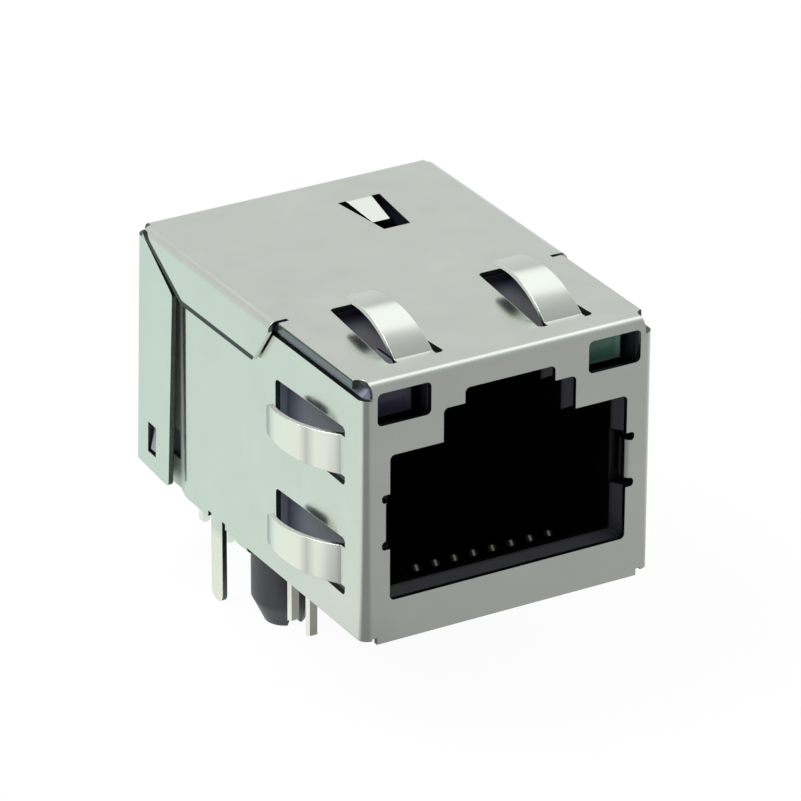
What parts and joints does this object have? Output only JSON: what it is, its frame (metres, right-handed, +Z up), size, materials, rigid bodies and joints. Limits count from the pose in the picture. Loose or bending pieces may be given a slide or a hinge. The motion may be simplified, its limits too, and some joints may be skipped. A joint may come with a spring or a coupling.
{
  "type": "shielded modular board jack",
  "caption": "Shielded modular jack for a circuit board with a rectangular plug port, spring contacts, indicator lamps, ground fingers, locating posts and solder pins.",
  "frame": {"origin": "on the circuit board's top face, midway between the two locating posts", "axes": "+Z up off the board, +X to the right seen from the plug port, +Y from the plug port to the rear"},
  "size_m": [0.018, 0.0216, 0.0183],
  "materials": {
    "base_plastic": "moulded black, matt",
    "block_plastic": "moulded black, matt",
    "capacitor_body": "fired, matt",
    "circuit_laminate": "green solder mask on glass laminate",
    "enamelled_wire": "enamelled copper",
    "ferrite": "pressed and fired, matt",
    "gold_contact": "gold over nickel, polished",
    "green_lens": "dark green tinted epoxy, polished",
    "housing_plastic": "moulded black, fine matt",
    "nickel_sheet": "nickel plated copper alloy sheet, satin",
    "resistor_body": "glazed",
    "smoky_lens": "smoky clear epoxy, polished",
    "tinned_lead": "tin plated, satin",
    "tinned_pin": "tin plated, satin"
  },
  "bodies": {
    "root": {"chip_capacitor": "capacitor_body", "circuit_board": "circuit_laminate", "coil_core_1": "ferrite", "coil_core_2": "ferrite", "coil_core_3": "ferrite", "coil_core_4": "ferrite", "coil_winding_1": "enamelled_wire", "coil_winding_2": "enamelled_wire", "coil_winding_3": "enamelled_wire", "coil_winding_4": "enamelled_wire", "contact_1": "gold_contact", "contact_2": "gold_contact", "contact_3": "gold_contact", "contact_4": "gold_contact", "contact_5": "gold_contact", "contact_6": "gold_contact", "contact_7": "gold_contact", "contact_8": "gold_contact", "contact_block": "block_plastic", "housing": "housing_plastic", "lamp_lead_left_front": "tinned_lead", "lamp_lead_left_rear": "tinned_lead", "lamp_lead_right_front": "tinned_lead", "lamp_lead_right_rear": "tinned_lead", "lamp_left": "smoky_lens", "lamp_right": "green_lens", "module_base": "base_plastic", "resistor_1": "resistor_body", "resistor_2": "resistor_body", "resistor_3": "resistor_body", "resistor_4": "resistor_body", "shield": "nickel_sheet", "signal_pin_1": "tinned_pin", "signal_pin_10": "tinned_pin", "signal_pin_2": "tinned_pin", "signal_pin_3": "tinned_pin", "signal_pin_4": "tinned_pin", "signal_pin_5": "tinned_pin", "signal_pin_6": "tinned_pin", "signal_pin_7": "tinned_pin", "signal_pin_8": "tinned_pin", "signal_pin_9": "tinned_pin"}
  },
  "joints": []
}
